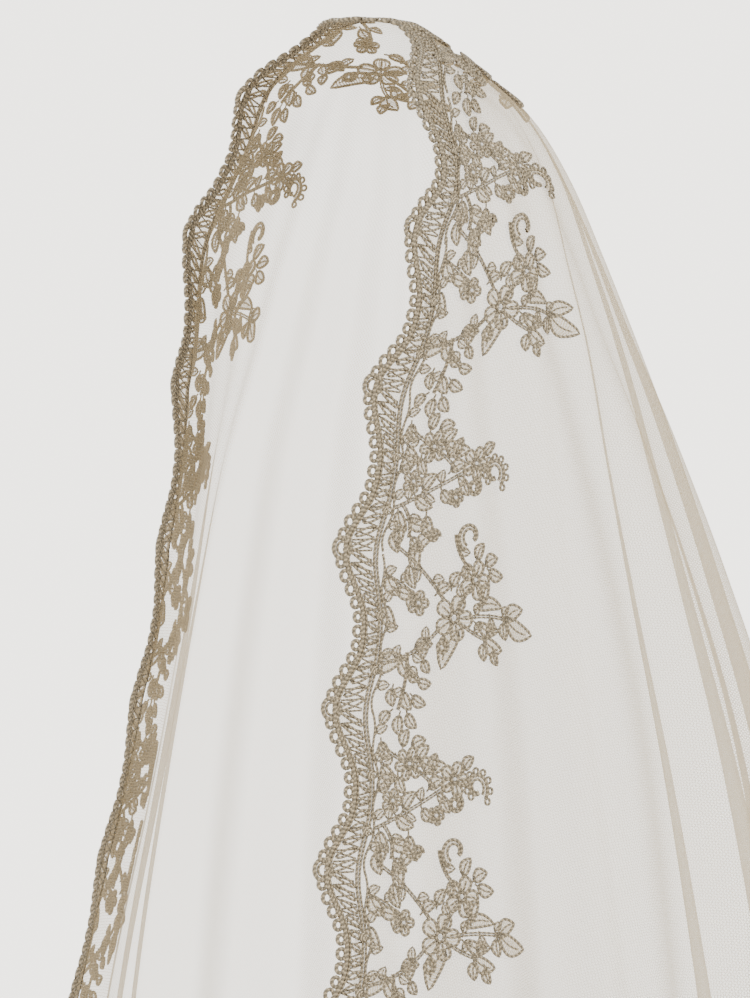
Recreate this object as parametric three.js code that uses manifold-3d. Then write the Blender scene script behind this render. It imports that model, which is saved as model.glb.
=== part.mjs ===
// Mantilla veil: a half-oval of sheer net that lies on a crown and hangs to the elbows.
// A scalloped, pierced lace edging runs all round it and floral sprays lie along its front border.
// Millimetres. +Z is up, the open front faces -Y, +X is the wearer's left.
// The origin is on the underside of the net, where it rests on the top of a crown.
import * as THREE from "three";
import { mergeVertices } from "three/addons/utils/BufferGeometryUtils.js";
import Module from "manifold-3d";

// Sizes of the cut cloth, laid flat
const HALF_FRONT_LENGTH = 745; // from the middle of the front edge to where its corner would be
const BACK_LENGTH = 790; // from the middle of the front edge to the hem at the back
const NET_THICKNESS = 1.2;

// Sizes of the veil as it hangs
const HEM_HALF_WIDTH = 229;
const HEM_BACK_REACH = 311; // from the axis of the head to the hem at the back
const DROP = 684; // from the crown to the hem
const HEM_FOLD_HEIGHT = 25; // from the mean surface to a fold's crest at the hem
const FOLD_COUNT = 15; // from one front edge to the other

// Sizes of the lace
const SCALLOP_COUNT = 34; // round the whole edge, one of them at the middle of the front edge
const EDGING_WIDTH = 10.5; // at the hollow between two scallops
const SCALLOP_DEPTH = 13.5;
const EDGING_THICKNESS = 1.4;
const EDGING_CLEARANCE = 1.8; // between the net's edge and the edging
const SPRAY_THICKNESS = 1;
const SPRAY_CLEARANCE = 1.3; // between the net's outer face and a spray
const SPRAY_REACH = 110; // from the net's edge to the tip of a large spray
const SPRAYS_PER_SIDE = 7; // one in each hollow from the crown down, large and small in turn

// The folds are calmer beside the front edges, where the lace is
const CALM_START = 0.46; // of the way from the back to the front edge
const CALM_END = 0.76;
const CALMED = 0.85; // share of a fold's height that is lost
const GATHER_START = 0.55; // from here on the net is drawn in to the front edge

// Corner between the front edge and the hem
const CORNER_START = 0.81; // of the half front length
const CORNER_END = 1.32; // radians from the back, where the corner meets the hem
const CORNER_EASE = 84; // length of the corner's handles

// The drape, a row per section down the cloth. Every column but the first is a share:
// centre and edge_forward of the back reach, side, back and edge_across of the hem's half width
// and back reach, levels of the drop, folds of the fold height at the hem.
const DRAPE = [
  // down, centre, side, back, edge_across, edge_forward, back_level, edge_level, folds
  [0.0, 0.006, 0.0, 0.0, 0.0, 0.006, 0.0, 0.0, 0.0],
  [0.015, 0.006, 0.05, 0.038, 0.049, 0.006, 0.0, -0.001, 0.0],
  [0.04, 0.006, 0.131, 0.1, 0.127, 0.006, -0.017, -0.007, 0.0],
  [0.09, 0.0, 0.256, 0.222, 0.245, -0.028, -0.045, -0.04, 0.03],
  [0.14, -0.012, 0.342, 0.328, 0.303, -0.055, -0.069, -0.088, 0.08],
  [0.19, -0.014, 0.41, 0.408, 0.353, -0.087, -0.117, -0.135, 0.13],
  [0.25, -0.012, 0.472, 0.47, 0.359, -0.138, -0.174, -0.203, 0.19],
  [0.31, -0.006, 0.53, 0.524, 0.339, -0.169, -0.234, -0.266, 0.25],
  [0.39, 0.0, 0.597, 0.608, 0.314, -0.215, -0.315, -0.351, 0.33],
  [0.5, 0.0, 0.683, 0.722, 0.325, -0.259, -0.428, -0.467, 0.45],
  [0.62, 0.0, 0.777, 0.828, 0.362, -0.311, -0.556, -0.596, 0.58],
  [0.75, 0.0, 0.865, 0.907, 0.41, -0.371, -0.703, -0.735, 0.72],
  [0.88, 0.0, 0.939, 0.965, 0.454, -0.416, -0.855, -0.875, 0.87],
  [1, 0.0, 1, 1, 0.489, -0.451, -0.997, -1.005, 1],
];

// Rows and columns of the net's mesh
const ROWS = [0.04, 0.085, 0.13, 0.18, 0.235, 0.3, 0.39, 0.5, 0.62, 0.74, 0.87, 1];
const COLUMNS = 72;
const EDGING_CELLS = 6; // per scallop; every other one is pierced
const EDGING_RAILS = [0, 0.3, 0.78, 1]; // shares of its width; the gaps lie between the middle two

const RIGHT_ANGLE = Math.PI / 2;
const SAMPLE_STEP = 0.002;
const FULL_WIDTH_RADIUS = 80; // nearer the middle of the front edge the net hangs as wide as it lies flat
const NARROWED_RADIUS = 190; // further from it the net is as narrow as the drape makes it

// Smooth value of one column of a table at a place down its first column
function column(table, index, at) {
  const last = table.length - 1;
  const place = Math.min(Math.max(at, table[0][0]), table[last][0]);
  let low = 0;
  while (low < last - 1 && table[low + 1][0] < place) low += 1;
  const slope = (row) => {
    const before = table[Math.max(row - 1, 0)];
    const after = table[Math.min(row + 1, last)];
    return (after[index] - before[index]) / (after[0] - before[0]);
  };
  const span = table[low + 1][0] - table[low][0];
  const part = (place - table[low][0]) / span;
  const part2 = part * part;
  const part3 = part2 * part;
  const inside =
    (2 * part3 - 3 * part2 + 1) * table[low][index] +
    (part3 - 2 * part2 + part) * span * slope(low) +
    (3 * part2 - 2 * part3) * table[low + 1][index] +
    (part3 - part2) * span * slope(low + 1);
  return inside + (at - place) * slope(at > place ? last : 0);
}

function smooth(from, to, value) {
  const part = Math.min(Math.max((value - from) / (to - from), 0), 1);
  return part * part * (3 - 2 * part);
}

// Length of the cloth from the middle of the front edge to the hem's oval, turned from the back
function clothLength(turn) {
  return 1 / Math.hypot(Math.sin(turn) / HALF_FRONT_LENGTH, Math.cos(turn) / BACK_LENGTH);
}

// How far the folds lift the net, from -1 to 1
function foldWave(turn) {
  const drift = 1.1 * Math.sin(2.3 * turn + 0.5);
  const fullness = 0.78 + 0.22 * Math.cos(5 * turn + 1);
  return fullness * Math.cos(2 * FOLD_COUNT * (turn - 0.74) + drift);
}

// A point of the hanging net: turn is the angle in the cloth from the back, radius the distance
function drape(turn, radius) {
  const down = radius / clothLength(turn);
  const part = Math.abs(turn) / RIGHT_ANGLE;
  const centre = column(DRAPE, 1, down) * HEM_BACK_REACH;
  const side = Math.max(column(DRAPE, 2, down) * HEM_HALF_WIDTH, 1e-4);
  const back = Math.max(column(DRAPE, 3, down) * HEM_BACK_REACH, 1e-4);
  const across = Math.max(column(DRAPE, 4, down) * HEM_HALF_WIDTH, 1e-4);
  const forward = column(DRAPE, 5, down) * HEM_BACK_REACH - centre;
  const wrap = Math.atan2(across, forward);
  const oval = (angle) => 1 / Math.hypot(Math.sin(angle) / side, Math.cos(angle) / back);
  const angle = wrap * part;
  const pull = Math.sin(RIGHT_ANGLE * Math.max((part - GATHER_START) / (1 - GATHER_START), 0)) ** 1.3;
  const wave = foldWave(turn) * (1 - CALMED * smooth(CALM_START, CALM_END, part));
  const fold = column(DRAPE, 8, down) * HEM_FOLD_HEIGHT * wave;
  const reach = oval(angle) + fold;
  const slackX = across - oval(wrap) * Math.sin(wrap);
  const slackY = forward - oval(wrap) * Math.cos(wrap);
  const sideways = reach * Math.sin(angle) + pull * slackX;
  const fall = Math.sin(RIGHT_ANGLE * part) ** 2;
  const backLevel = column(DRAPE, 6, down);
  const edgeLevel = column(DRAPE, 7, down);
  return new THREE.Vector3(
    Math.sign(turn) * sideways,
    centre + reach * Math.cos(angle) + pull * slackY,
    NET_THICKNESS / 2 + (backLevel + (edgeLevel - backLevel) * fall) * DROP,
  );
}

// The same point from flat coordinates, x along the front edge and y away from it
function onNet(x, y) {
  return drape(Math.atan2(x, y), Math.hypot(x, y));
}

// Outward normal of the net at a flat place
function netNormal(x, y) {
  const step = 0.5;
  const away = Math.max(y, step);
  const alongX = onNet(x + step, away).sub(onNet(x - step, away));
  const alongY = onNet(x, away + step).sub(onNet(x, away - step));
  return alongX.cross(alongY).normalize();
}

// Flat outline of the net from the end of the front edge on the left, round the hem, to the right
function hemOutline() {
  const start = new THREE.Vector2(HALF_FRONT_LENGTH * CORNER_START, 0);
  const onOval = (turn) => {
    const length = clothLength(turn);
    return new THREE.Vector2(Math.sin(turn) * length, Math.cos(turn) * length);
  };
  const end = onOval(CORNER_END);
  const heading = onOval(CORNER_END - SAMPLE_STEP).sub(end).normalize();
  const corner = new THREE.CubicBezierCurve(
    start,
    start.clone().add(new THREE.Vector2(CORNER_EASE, 0)),
    end.clone().sub(heading.multiplyScalar(CORNER_EASE)),
    end,
  );
  const points = corner.getPoints(40);
  const steps = 400;
  for (let i = 1; i < steps; i += 1) points.push(onOval(CORNER_END * (1 - (2 * i) / steps)));
  const mirrored = corner.getPoints(40).reverse();
  for (const point of mirrored) points.push(new THREE.Vector2(-point.x, point.y));
  return points;
}

// Points spread evenly by their hanging distance along a flat outline
function evenlySpread(outline, count) {
  const hung = outline.map((point) => onNet(point.x, point.y));
  const along = [0];
  for (let i = 1; i < hung.length; i += 1) along.push(along[i - 1] + hung[i].distanceTo(hung[i - 1]));
  const total = along[along.length - 1];
  const spread = [];
  let at = 0;
  for (let i = 0; i <= count; i += 1) {
    const wanted = (total * i) / count;
    while (at < along.length - 2 && along[at + 1] < wanted) at += 1;
    const part = (wanted - along[at]) / (along[at + 1] - along[at]);
    spread.push(outline[at].clone().lerp(outline[at + 1], Math.min(part, 1)));
  }
  return spread;
}

// Adds the two triangles of a quad
function quad(faces, a, b, c, d) {
  faces.push(a, b, c, a, c, d);
}

function meshFrom(points, faces) {
  const geometry = new THREE.BufferGeometry();
  const values = points.flatMap((point) => point.toArray());
  geometry.setAttribute("position", new THREE.Float32BufferAttribute(values, 3));
  geometry.setIndex(faces);
  return geometry;
}

// The net: two faces a thickness apart, one vertex each at the middle of the front edge
const outline = hemOutline();
const hemPoints = evenlySpread(outline, COLUMNS);

function netGeometry() {
  const points = [];
  const faces = [];
  const place = (i, row) => {
    const share = ROWS[row];
    return [hemPoints[i].x * share, hemPoints[i].y * share];
  };
  const sideCount = 1 + (COLUMNS + 1) * ROWS.length;
  for (const face of [0.5, -0.5]) {
    const lift = face * NET_THICKNESS;
    points.push(onNet(0, 0).add(new THREE.Vector3(0, 0, lift)));
    for (let i = 0; i <= COLUMNS; i += 1) {
      for (let row = 0; row < ROWS.length; row += 1) {
        const [x, y] = place(i, row);
        points.push(onNet(x, y).addScaledVector(netNormal(x, y), lift));
      }
    }
  }
  const outer = (i, row) => (row < 0 ? 0 : 1 + i * ROWS.length + row);
  const inner = (i, row) => outer(i, row) + sideCount;
  const lastRow = ROWS.length - 1;
  for (let i = 0; i < COLUMNS; i += 1) {
    faces.push(outer(i, -1), outer(i, 0), outer(i + 1, 0));
    faces.push(inner(i, -1), inner(i + 1, 0), inner(i, 0));
    for (let row = 0; row < lastRow; row += 1) {
      quad(faces, outer(i, row), outer(i, row + 1), outer(i + 1, row + 1), outer(i + 1, row));
      quad(faces, inner(i, row), inner(i + 1, row), inner(i + 1, row + 1), inner(i, row + 1));
    }
    quad(faces, outer(i, lastRow), inner(i, lastRow), inner(i + 1, lastRow), outer(i + 1, lastRow));
  }
  for (let row = -1; row < lastRow; row += 1) {
    quad(faces, outer(0, row), inner(0, row), inner(0, row + 1), outer(0, row + 1));
    const end = COLUMNS;
    quad(faces, outer(end, row + 1), inner(end, row + 1), inner(end, row), outer(end, row));
  }
  return meshFrom(points, faces);
}

// The net's edge as a closed chain of places, from the middle of the front edge to the left
function edgeChain() {
  const flat = [new THREE.Vector2(0, 0)];
  for (const share of ROWS) flat.push(hemPoints[0].clone().multiplyScalar(share));
  for (let i = 1; i <= COLUMNS; i += 1) flat.push(hemPoints[i].clone());
  const upwards = [...ROWS].reverse().slice(1);
  for (const share of upwards) flat.push(hemPoints[COLUMNS].clone().multiplyScalar(share));
  const hung = flat.map((point) => onNet(point.x, point.y));
  const normals = flat.map((point) => netNormal(point.x, point.y));
  const along = [0];
  for (let i = 1; i <= flat.length; i += 1) {
    along.push(along[i - 1] + hung[i % flat.length].distanceTo(hung[i - 1]));
  }
  return { flat, hung, normals, along, total: along[flat.length] };
}

// A place on the edge a distance along it, with the directions along, outward and off the net
function edgePlace(chain, distance) {
  const count = chain.hung.length;
  const wanted = ((distance % chain.total) + chain.total) % chain.total;
  let at = 0;
  while (chain.along[at + 1] < wanted) at += 1;
  const part = (wanted - chain.along[at]) / (chain.along[at + 1] - chain.along[at]);
  const next = (at + 1) % count;
  const point = chain.hung[at].clone().lerp(chain.hung[next], part);
  const normal = chain.normals[at].clone().lerp(chain.normals[next], part).normalize();
  const heading = (index) => {
    const before = chain.hung[(index + count - 1) % count];
    const after = chain.hung[(index + 1) % count];
    return after.clone().sub(before).normalize();
  };
  const tangent = heading(at).lerp(heading(next), part).normalize();
  const outward = new THREE.Vector3().crossVectors(normal, tangent).normalize().negate();
  return { point, normal, outward };
}

// The edging: a closed strip of cells with three rows, the middle one pierced in turn
function edgingGeometry(chain) {
  const pitch = chain.total / SCALLOP_COUNT;
  const cells = SCALLOP_COUNT * EDGING_CELLS;
  const points = [];
  const faces = [];
  for (let i = 0; i < cells; i += 1) {
    const distance = ((i + 0.5) * pitch) / EDGING_CELLS;
    const wave = 0.5 + 0.5 * Math.cos((2 * Math.PI * distance) / pitch);
    const width = EDGING_WIDTH + SCALLOP_DEPTH * wave ** 1.3;
    const { point, normal, outward } = edgePlace(chain, distance);
    for (const face of [0.5, -0.5]) {
      for (const share of EDGING_RAILS) {
        const out = EDGING_CLEARANCE + share * (width - EDGING_CLEARANCE);
        const made = point.clone().addScaledVector(outward, out);
        points.push(made.addScaledVector(normal, face * EDGING_THICKNESS));
      }
    }
  }
  const top = (i, row) => (i % cells) * 8 + row;
  const bottom = (i, row) => top(i, row) + 4;
  for (let i = 0; i < cells; i += 1) {
    const pierced = i % 2 === 1;
    for (let row = 0; row < 3; row += 1) {
      if (pierced && row === 1) {
        quad(faces, top(i, 1), bottom(i, 1), bottom(i + 1, 1), top(i + 1, 1));
        quad(faces, top(i, 2), top(i + 1, 2), bottom(i + 1, 2), bottom(i, 2));
        quad(faces, top(i, 1), top(i, 2), bottom(i, 2), bottom(i, 1));
        quad(faces, top(i + 1, 1), bottom(i + 1, 1), bottom(i + 1, 2), top(i + 1, 2));
      } else {
        quad(faces, top(i, row), top(i, row + 1), top(i + 1, row + 1), top(i + 1, row));
        quad(faces, bottom(i, row), bottom(i + 1, row), bottom(i + 1, row + 1), bottom(i, row + 1));
      }
    }
    quad(faces, top(i, 0), top(i + 1, 0), bottom(i + 1, 0), bottom(i, 0));
    quad(faces, top(i, 3), bottom(i, 3), bottom(i + 1, 3), top(i + 1, 3));
  }
  return meshFrom(points, faces);
}

// Charts of the two sprays, in shares of the reach: along the edge towards the crown, and inward
const LARGE_SPRAY = {
  flowers: [
    // along, inward, radius
    [0.086, 0.46, 0.11],
    [0.28, 0.577, 0.095],
  ],
  leaves: [
    // along, inward, length, half width, heading in degrees from the edge
    [0.118, 0.82, 0.185, 0.046, 105],
    [0.118, 0.815, 0.13, 0.036, 58],
    [0.03, 0.49, 0.21, 0.045, 205],
    [0.0, 0.66, 0.14, 0.036, 105],
  ],
  stems: [
    // from along and inward, bent towards along and inward, to along and inward
    [-0.145, 0.07, -0.11, 0.27, 0.04, 0.38],
    [0.09, 0.52, 0.13, 0.68, 0.12, 0.84],
    [0.12, 0.48, 0.18, 0.5, 0.245, 0.555],
    [0.055, 0.52, 0.01, 0.6, 0.0, 0.68],
  ],
};
const SMALL_SPRAY = {
  flowers: [
    // along, inward, radius
    [0.077, 0.51, 0.085],
    [0.136, 0.24, 0.08],
  ],
  leaves: [
    // along, inward, length, half width, heading in degrees from the edge
    [0.04, 0.55, 0.2, 0.062, 92],
    [0.155, 0.29, 0.16, 0.036, 95],
    [-0.09, 0.22, 0.13, 0.034, 165],
  ],
  stems: [
    // from along and inward, bent towards along and inward, to along and inward
    [-0.165, 0.08, -0.07, 0.29, 0.07, 0.5],
    [0.13, 0.25, 0.08, 0.35, 0.03, 0.4],
  ],
};
const STEM_HALF_WIDTH = 1.3;
const PETAL_NOTCH = 0.72; // of a flower's radius
const LEAF_BELLY = 0.42; // of a leaf's length
const LONGEST_SPRAY_EDGE = 13;
const NEAREST_SPRAY_CORNERS = 0.4;

const wasm = await Module();
wasm.setup();

// A flat plate of a given outline, as a solid
function plate(points) {
  const shape = new THREE.Shape(points);
  const geometry = new THREE.ExtrudeGeometry(shape, { depth: 1, bevelEnabled: false });
  geometry.deleteAttribute("normal");
  geometry.deleteAttribute("uv");
  const merged = mergeVertices(geometry, 1e-4);
  return new wasm.Manifold(
    new wasm.Mesh({
      numProp: 3,
      vertProperties: merged.attributes.position.array,
      triVerts: new Uint32Array(merged.index.array),
    }),
  );
}

function flowerOutline(along, inward, radius) {
  const points = [];
  for (let i = 0; i < 10; i += 1) {
    const angle = (Math.PI * i) / 5;
    const reach = i % 2 === 0 ? radius * PETAL_NOTCH : radius;
    points.push(new THREE.Vector2(along + reach * Math.cos(angle), inward + reach * Math.sin(angle)));
  }
  return points;
}

function leafOutline(along, inward, length, halfWidth, heading) {
  const turn = THREE.MathUtils.degToRad(heading);
  const ahead = new THREE.Vector2(Math.cos(turn), Math.sin(turn));
  const aside = new THREE.Vector2(-ahead.y, ahead.x);
  const base = new THREE.Vector2(along, inward);
  const at = (share, width) =>
    base.clone().addScaledVector(ahead, share * length).addScaledVector(aside, width * halfWidth);
  return [at(0, 0), at(LEAF_BELLY, -1), at(1, 0), at(LEAF_BELLY, 1)];
}

function stemOutline(row, reach) {
  const [from, bend, to] = [0, 2, 4].map((i) => new THREE.Vector2(row[i], row[i + 1]).multiplyScalar(reach));
  const curve = new THREE.QuadraticBezierCurve(from, bend, to);
  const left = [];
  const right = [];
  for (let i = 0; i <= 2; i += 1) {
    const point = curve.getPoint(i / 2);
    const heading = curve.getTangent(i / 2);
    const aside = new THREE.Vector2(-heading.y, heading.x).multiplyScalar(STEM_HALF_WIDTH);
    left.push(point.clone().add(aside));
    right.unshift(point.clone().sub(aside));
  }
  return [...right.reverse(), ...left.reverse()];
}

// A whole spray laid flat, its parts joined into one plate
function flatSpray(chart) {
  const reach = SPRAY_REACH;
  const outlines = [
    ...chart.stems.map((row) => stemOutline(row, reach)),
    ...chart.flowers.map((row) => flowerOutline(...row.map((share) => share * reach))),
    ...chart.leaves.map((row) => leafOutline(...row.slice(0, 4).map((share) => share * reach), row[4])),
  ];
  return outlines.map(plate).reduce((joined, next) => joined.add(next));
}

// Outline of a joined plate's upper face, with corners nearer than a limit made one
function outlineOf(solid, limit) {
  const mesh = solid.getMesh();
  const corners = [];
  const corner = (index) => {
    const point = new THREE.Vector3().fromArray(mesh.vertProperties, index * 3);
    if (point.z < 0.5) return -1;
    const known = corners.findIndex((other) => other.distanceTo(point) < limit);
    return known < 0 ? corners.push(point) - 1 : known;
  };
  const sides = new Set();
  for (let i = 0; i < mesh.triVerts.length; i += 3) {
    const [a, b, c] = [0, 1, 2].map((k) => corner(mesh.triVerts[i + k]));
    const whole = Math.min(a, b, c) >= 0 && a !== b && b !== c && c !== a;
    if (whole) for (const side of [[a, b], [b, c], [c, a]]) sides.add(side.join(" "));
  }
  const next = new Map();
  for (const side of sides) {
    const [from, to] = side.split(" ").map(Number);
    if (!sides.has(to + " " + from)) next.set(from, to);
  }
  const first = next.keys().next().value;
  const loop = [corners[first]];
  for (let at = next.get(first); at !== first; at = next.get(at)) loop.push(corners[at]);
  return loop.map((point) => new THREE.Vector2(point.x, point.y));
}

// Splits each edge longer than a limit at its middle, in both triangles that share it
function refine(points, faces, limit) {
  const made = new Map();
  const middle = (a, b) => {
    if (points[a].distanceTo(points[b]) <= limit) return -1;
    const key = a < b ? a + " " + b : b + " " + a;
    if (!made.has(key)) made.set(key, points.push(points[a].clone().lerp(points[b], 0.5)) - 1);
    return made.get(key);
  };
  const refined = [];
  for (let i = 0; i < faces.length; i += 3) {
    const corner = [faces[i], faces[i + 1], faces[i + 2]];
    const halves = [0, 1, 2].map((k) => middle(corner[k], corner[(k + 1) % 3]));
    const cut = halves.filter((half) => half >= 0).length;
    const ring = [0, 1, 2].flatMap((k) => (halves[k] >= 0 ? [corner[k], halves[k]] : [corner[k]]));
    if (cut === 3) {
      refined.push(ring[0], ring[1], ring[5], ring[1], ring[2], ring[3]);
      refined.push(ring[3], ring[4], ring[5], ring[1], ring[3], ring[5]);
    } else if (cut > 0) {
      const first = ring.indexOf(halves.find((half) => half >= 0));
      for (let k = 1; k < ring.length - 1; k += 1) {
        const next = (first + k) % ring.length;
        refined.push(ring[first], ring[next], ring[(next + 1) % ring.length]);
      }
    } else {
      refined.push(...corner);
    }
  }
  return refined;
}

// How much narrower the net hangs than it lies flat, beside the front edge
function narrowing(radius) {
  const step = 0.02;
  const near = drape(RIGHT_ANGLE, radius).distanceTo(drape(RIGHT_ANGLE - step, radius));
  return 1 + (near / (radius * step) - 1) * smooth(FULL_WIDTH_RADIUS, NARROWED_RADIUS, radius);
}

// Turn and radius on the net of a place beside the front edge, along it and inward from it
function besideEdge(along, inward) {
  const radius = Math.hypot(along, inward);
  const turn = Math.atan2(inward, Math.abs(along)) / narrowing(Math.max(radius, 1));
  return [Math.sign(along || 1) * (RIGHT_ANGLE - turn), radius];
}

// Distance in the cloth of a place a given distance along the hanging front edge
function edgeRadius(chain, distance) {
  let at = 0;
  while (chain.along[at + 1] < Math.abs(distance)) at += 1;
  const part = (Math.abs(distance) - chain.along[at]) / (chain.along[at + 1] - chain.along[at]);
  const radius = chain.flat[at].length() * (1 - part) + chain.flat[at + 1].length() * part;
  return Math.sign(distance) * radius;
}

// A spray laid on the net's outer face, beside the hollow between two scallops
function sprayGeometry(mesh, centre) {
  const points = [];
  const count = mesh.vertProperties.length / 3;
  for (let i = 0; i < count; i += 1) points.push(new THREE.Vector3().fromArray(mesh.vertProperties, i * 3));
  let faces = [...mesh.triVerts];
  for (let pass = 0; pass < 2; pass += 1) faces = refine(points, faces, LONGEST_SPRAY_EDGE);
  const away = centre < 0 ? -1 : 1;
  const laid = points.map((point) => {
    const [turn, radius] = besideEdge(centre - away * point.x, point.y);
    const x = Math.sin(turn) * radius;
    const y = Math.cos(turn) * radius;
    const lift = NET_THICKNESS / 2 + SPRAY_CLEARANCE + point.z * SPRAY_THICKNESS;
    return onNet(x, y).addScaledVector(netNormal(x, y), lift);
  });
  return meshFrom(laid, away > 0 ? faces.reverse() : faces);
}

const group = new THREE.Group();
const add = (name, geometry, colour, roughness) => {
  const material = new THREE.MeshStandardMaterial({ color: colour, roughness, metalness: 0 });
  const mesh = new THREE.Mesh(geometry, material);
  mesh.name = name;
  group.add(mesh);
};

add("net_veil", netGeometry(), "#ece4d6", 0.8);
const chain = edgeChain();
add("edging_lace", edgingGeometry(chain), "#d9d3c4", 0.6);
const sprays = [LARGE_SPRAY, SMALL_SPRAY].map((chart) =>
  plate(outlineOf(flatSpray(chart), NEAREST_SPRAY_CORNERS)).getMesh(),
);
for (let i = -SPRAYS_PER_SIDE; i < SPRAYS_PER_SIDE; i += 1) {
  const hollow = i < 0 ? -i - 1 : i;
  const distance = ((i + 0.5) * chain.total) / SCALLOP_COUNT;
  const geometry = sprayGeometry(sprays[hollow % 2], edgeRadius(chain, distance));
  add("spray_" + String(i + SPRAYS_PER_SIDE + 1).padStart(2, "0"), geometry, "#d6d0c2", 0.55);
}

export default group;
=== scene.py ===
"""Mantilla veil: sheer net, corded scalloped edging and floral sprays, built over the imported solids."""

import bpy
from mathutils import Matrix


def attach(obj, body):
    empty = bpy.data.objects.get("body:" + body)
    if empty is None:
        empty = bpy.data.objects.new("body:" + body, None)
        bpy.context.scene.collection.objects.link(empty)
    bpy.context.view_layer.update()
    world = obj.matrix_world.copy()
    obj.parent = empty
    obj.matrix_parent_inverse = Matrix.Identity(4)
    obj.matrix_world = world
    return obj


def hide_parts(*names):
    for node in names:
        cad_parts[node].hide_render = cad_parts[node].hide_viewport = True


bl_info = {
    "name": "Mantilla veil",
    "version": (1, 0, 0),
    "blender": (4, 5, 0),
    "location": "View3D > Sidebar > Veil",
    "description": "Builds a sheer lace-edged veil over its packed solids",
    "category": "Object",
}

import math

import bpy
import numpy as np
from mathutils import Vector

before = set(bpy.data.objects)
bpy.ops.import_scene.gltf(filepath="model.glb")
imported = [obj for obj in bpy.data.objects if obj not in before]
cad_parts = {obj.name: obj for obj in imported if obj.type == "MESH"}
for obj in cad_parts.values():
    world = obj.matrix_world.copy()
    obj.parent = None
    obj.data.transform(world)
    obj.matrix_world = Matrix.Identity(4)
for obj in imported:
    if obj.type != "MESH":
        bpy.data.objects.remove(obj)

RIGHT_ANGLE = math.pi / 2
MM = 0.001
LEAST = 1e-7

# The folds are calmed, and the net is gathered, between these shares of the way to the edge
CALM_START, CALM_END, CALMED = 0.46, 0.76, 0.85
GATHER_START = 0.55

# Flat radii at which the sprays start to narrow and are as narrow as the gathered net
FULL_WIDTH_RADIUS, NARROWED_RADIUS = 80 * MM, 190 * MM

# The corner of the cut: the turn where it leaves the oval, its share of the front edge, its handles
CORNER_TURN, CORNER_START, CORNER_HANDLE = 1.32, 0.81, 0.084

# The drape, a row per section down the cloth, as shares of the sizes
DOWN, CENTRE, SIDE, BACK, EDGE_ACROSS, EDGE_FORWARD, BACK_LEVEL, EDGE_LEVEL, FOLDS = range(9)
DRAPE = np.array(
    [
        [0.0, 0.006, 0.0, 0.0, 0.0, 0.006, 0.0, 0.0, 0.0],
        [0.015, 0.006, 0.05, 0.038, 0.049, 0.006, 0.0, -0.001, 0.0],
        [0.04, 0.006, 0.131, 0.1, 0.127, 0.006, -0.017, -0.007, 0.0],
        [0.09, 0.0, 0.256, 0.222, 0.245, -0.028, -0.045, -0.04, 0.03],
        [0.14, -0.012, 0.342, 0.328, 0.303, -0.055, -0.069, -0.088, 0.08],
        [0.19, -0.014, 0.41, 0.408, 0.353, -0.087, -0.117, -0.135, 0.13],
        [0.25, -0.012, 0.472, 0.47, 0.359, -0.138, -0.174, -0.203, 0.19],
        [0.31, -0.006, 0.53, 0.524, 0.339, -0.169, -0.234, -0.266, 0.25],
        [0.39, 0.0, 0.597, 0.608, 0.314, -0.215, -0.315, -0.351, 0.33],
        [0.5, 0.0, 0.683, 0.722, 0.325, -0.259, -0.428, -0.467, 0.45],
        [0.62, 0.0, 0.777, 0.828, 0.362, -0.311, -0.556, -0.596, 0.58],
        [0.75, 0.0, 0.865, 0.907, 0.41, -0.371, -0.703, -0.735, 0.72],
        [0.88, 0.0, 0.939, 0.965, 0.454, -0.416, -0.855, -0.875, 0.87],
        [1, 0.0, 1, 1, 0.489, -0.451, -0.997, -1.005, 1],
    ]
)

# The places down the front edge and round the hem between which the edging is straight
EDGE_ROWS = (0.04, 0.085, 0.13, 0.18, 0.235, 0.3, 0.39, 0.5, 0.62, 0.74, 0.87, 1)
EDGE_COLUMNS = 72

# The sprays' charts, in millimetres at this reach: along the edge towards the crown, and inward
CHART_REACH = 110

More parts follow.
